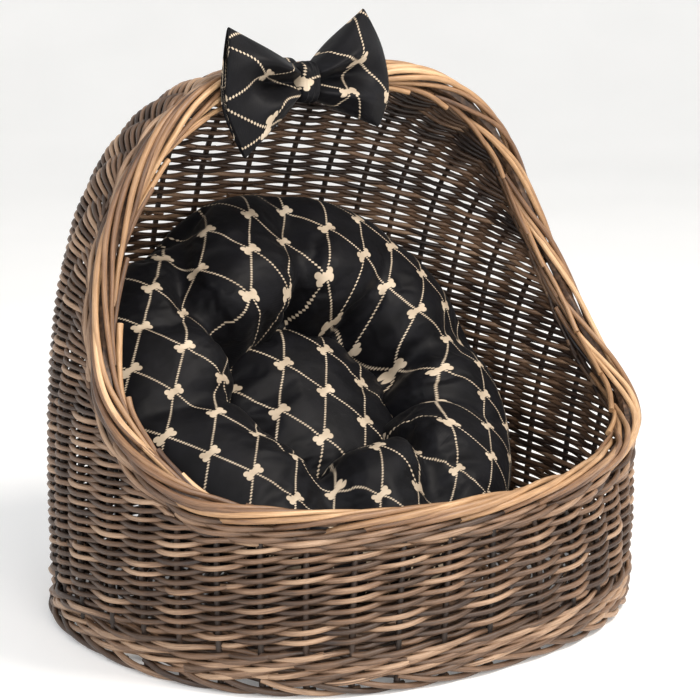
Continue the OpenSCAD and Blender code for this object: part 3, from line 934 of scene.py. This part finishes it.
def loop_rings(edge, steps=40, sides=64):
    """Rings of points from the band out to the edge, folded between an upper and a lower puff."""
    rings = []
    for t in np.linspace(0, 1, steps):
        w = around_once(sides)
        high = np.sin(w)
        face = np.cos(w)
        s = (1 - high) / 2
        outer = along_keys([(k / 3, *point) for k, point in enumerate(edge)], s).T * MM
        root = np.stack([np.full(sides, math.copysign(9 * MM, edge[0][0])), np.zeros(sides), 15 * MM * high], 1)
        middle = root + (outer - root) * t ** 0.92
        full = 12 * MM + 17 * MM * math.sin(math.pi * t ** 0.85) ** 0.8 * (1 - 0.25 * t) - 8.5 * MM * t ** 3
        fold = math.exp(-((t - 0.3) / 0.42) ** 2)
        valley = np.exp(-((high - 0.02) / 0.28) ** 2) * fold * np.where(face < 0, 1.2, 0.35)
        pleats = 1 + 0.16 * (1 - t) * np.cos(high * 11) + 0.06 * np.sin(high * 5 + t * 7)
        closing = np.abs(face) ** 0.75
        depth = full * closing * pleats * (1 - valley)
        ring = middle + np.stack([np.zeros(sides), np.sign(face) * depth, np.zeros(sides)], 1)
        rings.append(ring + [BOW_X, BOW_Y, BOW_Z])
    return rings


def loop_places(rings, side):
    """The print runs outwards from the band, and round the loop from the middle of its front to the back seam."""
    places = []
    for ring in rings:
        steps = np.linalg.norm(np.diff(ring[:, 1:], axis=0, append=ring[:1, 1:]), axis=1)
        round_it = np.concatenate([[0], np.cumsum(steps)])[:-1]
        places.append(turned(ring[:, 0] - BOW_X, round_it - round_it[len(ring) // 2], math.radians(40 * side + 8)))
    places = np.concatenate(places + [places[0].mean(0, keepdims=True), places[-1].mean(0, keepdims=True)])
    return places + [0.011, 0.008 * side, 0]


def bow_place(points, side=0.0):
    """The rule for the band and the tie, whose print runs at another angle from the cushion's."""
    x, z = points[:, 0] - BOW_X, points[:, 2] - BOW_Z + 0.35 * (points[:, 1] - BOW_Y)
    return turned(x, z, math.radians(24 * side + 8)) + [0.011, 0.008 * side, 0]


left_loop, right_loop = [
    finish_cloth(grid_piece(f"bow_{name}_loop_cloth", loop_rings(edge)), loop_places(loop_rings(edge), side))
    for name, edge, side in (("left", LEFT_EDGE, -1), ("right", RIGHT_EDGE, 1))]

# %% [markdown]
# ### Band and tie
# The band is a strip of cloth wrapped tightly round the middle, so its front is a small pillow with a few pleats that
# run round it. The tie is a flat folded strap that goes round the rim border and holds the bow there.

# %% Shape the band and the tie
BAND_SHARE = Vector((0.72, 1, 0.84))  # of the frame's band, so that it stays inside


def band_rings(steps=34, sides=48):
    middle, half = (bow_low + bow_high) / 2, BAND_SHARE * (bow_high - bow_low) / 2
    rings = []
    for t in np.linspace(-1, 1, steps):
        w = around_once(sides)
        close = (1 - abs(t) ** 4) ** 0.5 * 0.75 + 0.25
        pleat = 1 + 0.045 * math.cos(t * 12) + 0.02 * math.cos(t * 25)
        y = half.y * np.sign(np.cos(w)) * np.abs(np.cos(w)) ** 0.7 * close * pleat
        z = half.z * np.sign(np.sin(w)) * np.abs(np.sin(w)) ** 0.75 * close * pleat * (1 + 0.05 * t)
        rings.append(np.stack([np.full(sides, middle.x + half.x * t), middle.y + y, middle.z + z], 1))
    return rings


band = finish_cloth(grid_piece("bow_band_cloth", band_rings()), lambda points: bow_place(points, 0.2))


def strap_rings(steps=64):
    low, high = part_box("bow_tie_strap")
    middle, half = (low + high) / 2, (high - low) / 2
    rings = []
    for k in range(steps):
        w = 2 * math.pi * k / steps
        direction = np.array([0, math.cos(w), math.sin(w)])
        width = half.x * (0.96 + 0.04 * math.cos(3 * w))
        section = [(-1, -1.9), (-0.96, -0.1), (-0.5, -0.5), (0, 0), (0.5, -0.4), (0.96, -0.1), (1, -1.9), (0, -1.8)]
        rings.append([np.array([middle.x + width * x, middle.y, middle.z]) + direction * (half.z + out * MM)
                      for x, out in section])
    return rings


strap = finish_cloth(grid_piece("bow_tie_cloth", strap_rings(), closed_rings=True), bow_place)
print("bow band", [round(c / MM) for c in (bow_high - bow_low)], "mm")

# %% [markdown]
# ## Floor and light
# The basket stands on a plain pale floor in soft studio light. A white surround gives the even light, and the floor
# glows faintly so that it stays white. A large lamp from the upper front right gives the rods and the satin their
# soft highlights, and two weaker ones, from the left and the front, lighten the shadows.

# %% Light the basket
def studio_floor(flat=3.5, curve=3.0, sides=64):
    """A round white floor that curves up into a low wall, so that no edge shows behind the basket."""
    finish, tree = new_finish("white_studio_paint")
    place = add(tree, "ShaderNodeTexCoord").outputs["Object"]
    mottle = noise(tree, place, 3.0)
    paint(tree, {"Base Color": ramp(tree, mottle, [(0.3, "#f3f3f2"), (0.7, "#f7f7f6")]), "Roughness": 0.8,
                 "Specular IOR Level": 0.1, "Emission Color": (1, 1, 1, 1), "Emission Strength": 0.16})
    profile = [(0.001, 0), (flat, 0)] + [(flat + curve * math.sin(a), curve * (1 - math.cos(a)))
                                         for a in np.linspace(0.1, math.pi / 2, 14)]
    points = [(r * math.cos(w), r * math.sin(w), z) for r, z in profile
              for w in around_once(sides)]
    faces = [(i * sides + j, i * sides + (j + 1) % sides, (i + 1) * sides + (j + 1) % sides, (i + 1) * sides + j)
             for i in range(len(profile) - 1) for j in range(sides)]
    mesh = bpy.data.meshes.new("floor")
    mesh.from_pydata(points, [], faces + [tuple(range(sides))])
    mesh.flip_normals()
    mesh.polygons.foreach_set("use_smooth", [True] * len(mesh.polygons))
    mesh.materials.append(finish)
    return link(bpy.data.objects.new("floor", mesh))


floor = studio_floor()


def lamp(name, place, size, power, colour="#ffffff"):
    light = bpy.data.lights.new(name, "AREA")
    light.shape, light.size, light.energy, light.color = "DISK", size, power, linear(colour)[:3]
    obj = link(bpy.data.objects.new(name, light))
    obj.location = place
    obj.rotation_euler = (aim - Vector(place)).to_track_quat("-Z", "Y").to_euler()
    return obj


lamp("key_light", (0.7, -1.5, 2.3), 1.0, 60, "#fff7ee")
lamp("side_light", (-2.2, -0.8, 1.6), 1.2, 18, "#f2f6ff")
lamp("front_light", (-0.7, -2.1, 1.1), 1.2, 26, "#fffaf4")
world = bpy.data.worlds.new("studio")
scene.world = world
world.use_nodes = True
surround = world.node_tree.nodes["Background"].inputs
surround["Color"].default_value, surround["Strength"].default_value = (1, 1, 1, 1), 0.62
scene.view_settings.view_transform = "Standard"

# %% [markdown]
# ## Tie the pieces to the frame
# Every piece moves with a body of the frame and says which solids it stands for.

PIECES = {
    ("basket", "brown_willow"): [
        (base_weave, "base_weave"), (foot_border, "foot_border"), (upsett, "upsett_waling"),
        (side_weave, "side_weave"), (hood_pieces[0], "hood_weave"), (hood_pieces[1], "hood_weave"),
        (low_stakes, "low_stakes"), (hood_stakes, "hood_stakes"), (top_waling, "top_waling")],
    ("basket", "pale_willow"): [(rim_border, "rim_outer_strand", "rim_top_strand", "rim_inner_strand")],
    ("cushion", "printed_cloth"): [
        (ring_cover, "cushion_ring_cover", "cushion_ring_filling"),
        (pad_cover, "cushion_pad_cover", "cushion_pad_filling"),
        (under_panel, "cushion_under_panel"), (cord_piece, "cushion_seam_cord")],
    ("basket", "printed_cloth"): [
        (left_loop, "bow_left_loop", "bow_left_wadding"), (right_loop, "bow_right_loop", "bow_right_wadding"),
        (band, "bow_knot_band"), (strap, "bow_tie_strap")],
}
for (body, slot), pieces in PIECES.items():
    for piece, *nodes in pieces:
        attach(piece, body)
        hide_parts(*nodes)
print(sum(map(len, PIECES.values())), "pieces tied to the frame")
